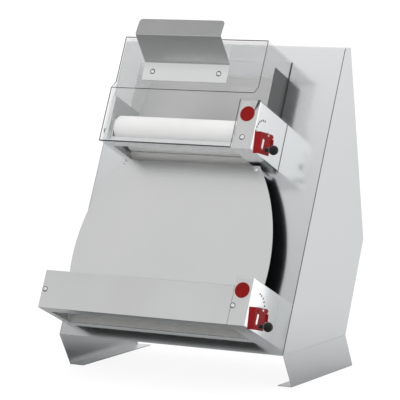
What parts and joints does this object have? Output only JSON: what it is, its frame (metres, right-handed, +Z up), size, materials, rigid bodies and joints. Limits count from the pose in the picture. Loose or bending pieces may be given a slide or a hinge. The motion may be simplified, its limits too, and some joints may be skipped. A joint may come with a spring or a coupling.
{
  "type": "dough sheeter",
  "caption": "Bench dough sheeter: leaning steel casing, paired powered rollers above and below a curved slide plate, lever gap setting, clear guard and feed chute.",
  "frame": {"origin": "centre of the bounding box at bench level", "axes": "+X to the machine's right seen from the front, +Y to the back, +Z up"},
  "size_m": [0.54, 0.4606, 0.7235],
  "materials": {
    "sheet_steel": "satin stainless sheet",
    "plate_steel": "machined steel plate",
    "shaft_steel": "turned steel",
    "clear_plastic": "clear polycarbonate sheet",
    "white_plastic": "white food plastic",
    "red_paint": "red powder coat",
    "red_plastic": "red plastic",
    "green_plastic": "green plastic",
    "black_plastic": "black moulded plastic",
    "black_rubber": "moulded rubber",
    "cast_alloy": "cast and turned aluminium",
    "motor_paint": "dark grey paint"
  },
  "bodies": {
    "casing": {"front_panel": "sheet_steel", "left_side_panel": "sheet_steel", "right_side_panel": "sheet_steel", "side_flanges": "sheet_steel", "rear_cover": "sheet_steel", "base_plate": "sheet_steel", "casing_screws": "shaft_steel", "motor_body": "motor_paint", "drive_brackets": "plate_steel", "lower_belt": "black_rubber", "transfer_belt": "black_rubber", "upper_belt": "black_rubber", "cord_gland": "black_plastic", "switch_box": "black_plastic", "upper_left_plate": "plate_steel", "upper_inner_plate": "plate_steel", "upper_drive_cover": "sheet_steel", "upper_base": "sheet_steel", "lower_left_plate": "plate_steel", "lower_inner_plate": "plate_steel", "lower_drive_cover": "sheet_steel", "lower_front_cover": "sheet_steel", "lower_base": "sheet_steel", "rear_roller_bearings": "shaft_steel", "rear_scrapers": "white_plastic", "red_discs": "red_plastic", "button_screws": "shaft_steel", "guard": "clear_plastic", "feed_chute": "sheet_steel", "hopper_tray": "sheet_steel", "slide_plate": "sheet_steel", "slide_spacers": "shaft_steel"},
    "motor_rotor": {"motor_shaft": "shaft_steel", "motor_pulleys": "cast_alloy"},
    "layshaft_set": {"layshaft": "shaft_steel", "layshaft_pulleys": "cast_alloy"},
    "upper_rear_set": {"upper_rear_roller": "white_plastic", "upper_rear_gear": "shaft_steel", "upper_driven_pulley": "cast_alloy"},
    "upper_front_set": {"upper_front_roller": "white_plastic", "upper_front_gear": "shaft_steel"},
    "lower_rear_set": {"lower_rear_roller": "white_plastic", "lower_rear_gear": "shaft_steel", "lower_driven_pulley": "cast_alloy"},
    "lower_front_set": {"lower_front_roller": "white_plastic", "lower_front_gear": "shaft_steel"},
    "upper_carrier_set": {"upper_roller_carrier": "plate_steel", "upper_front_scraper": "white_plastic"},
    "lower_carrier_set": {"lower_roller_carrier": "plate_steel", "lower_front_scraper": "white_plastic"},
    "upper_lever_set": {"upper_lever": "red_paint", "upper_lever_cam": "shaft_steel", "upper_knob_spring": "shaft_steel"},
    "lower_lever_set": {"lower_lever": "red_paint", "lower_lever_cam": "shaft_steel", "lower_knob_spring": "shaft_steel"},
    "upper_knob_set": {"upper_knob": "black_plastic"},
    "lower_knob_set": {"lower_knob": "black_plastic"},
    "start_button_set": {"start_button": "green_plastic"},
    "stop_button_set": {"stop_button": "red_plastic"}
  },
  "joints": [
    {"name": "lower_rear_spin", "type": "hinge", "parent": "casing", "child": "lower_rear_set", "pos_m": [0, -0.1327, 0.14378], "axis": [1, 0, 0], "continuous": true},
    {"name": "lower_front_spin", "type": "hinge", "parent": "lower_carrier_set", "child": "lower_front_set", "pos_m": [0, -0.17954, 0.16543], "axis": [1, 0, 0], "continuous": true},
    {"name": "upper_rear_spin", "type": "hinge", "parent": "casing", "child": "upper_rear_set", "pos_m": [0, 0.01157, 0.47149], "axis": [1, 0, 0], "continuous": true},
    {"name": "upper_front_spin", "type": "hinge", "parent": "upper_carrier_set", "child": "upper_front_set", "pos_m": [0, -0.0389, 0.49481], "axis": [1, 0, 0], "continuous": true},
    {"name": "motor_spin", "type": "hinge", "parent": "casing", "child": "motor_rotor", "pos_m": [0.2, 0.04399, 0.14256], "axis": [1, 0, 0], "continuous": true},
    {"name": "layshaft_spin", "type": "hinge", "parent": "casing", "child": "layshaft_set", "pos_m": [0.165, 0.1039, 0.43434], "axis": [1, 0, 0], "continuous": true},
    {"name": "lower_lever_turn", "type": "hinge", "parent": "casing", "child": "lower_lever_set", "pos_m": [0.235, -0.1809, 0.16606], "axis": [1, 0, 0], "range_deg": [0, 180]},
    {"name": "upper_lever_turn", "type": "hinge", "parent": "casing", "child": "upper_lever_set", "pos_m": [0.172, -0.04072, 0.49565], "axis": [-1, 0, 0], "range_deg": [0, 180]},
    {"name": "lower_gap_slide", "type": "slide", "parent": "casing", "child": "lower_carrier_set", "axis": [0, -0.9078, 0.4195], "range_m": [0, 0.0035]},
    {"name": "upper_gap_slide", "type": "slide", "parent": "casing", "child": "upper_carrier_set", "axis": [0, -0.9078, 0.4195], "range_m": [0, 0.0035]},
    {"name": "lower_knob_pull", "type": "slide", "parent": "lower_lever_set", "child": "lower_knob_set", "axis": [1, 0, 0], "range_m": [0, 0.004], "stiffness_N_per_m": 250, "springref_m": -0.004, "deforming": ["lower_knob_spring"]},
    {"name": "upper_knob_pull", "type": "slide", "parent": "upper_lever_set", "child": "upper_knob_set", "axis": [1, 0, 0], "range_m": [0, 0.004], "stiffness_N_per_m": 250, "springref_m": -0.004, "deforming": ["upper_knob_spring"]},
    {"name": "start_button_push", "type": "slide", "parent": "casing", "child": "start_button_set", "axis": [1, 0, 0], "range_m": [0, 0.003], "stiffness_N_per_m": 300, "springref_m": -0.002},
    {"name": "stop_button_push", "type": "slide", "parent": "casing", "child": "stop_button_set", "axis": [1, 0, 0], "range_m": [0, 0.003], "stiffness_N_per_m": 300, "springref_m": -0.002}
  ],
  "couplings": [
    {"joint": "lower_front_spin", "follows": "lower_rear_spin", "ratio": -1},
    {"joint": "upper_rear_spin", "follows": "lower_rear_spin", "ratio": 1},
    {"joint": "upper_front_spin", "follows": "lower_rear_spin", "ratio": -1},
    {"joint": "motor_spin", "follows": "lower_rear_spin", "ratio": 1},
    {"joint": "layshaft_spin", "follows": "lower_rear_spin", "ratio": 1},
    {"joint": "lower_lever_turn", "follows": "lower_gap_slide", "rad_per_m": 897.6},
    {"joint": "upper_lever_turn", "follows": "upper_gap_slide", "rad_per_m": 897.6}
  ]
}
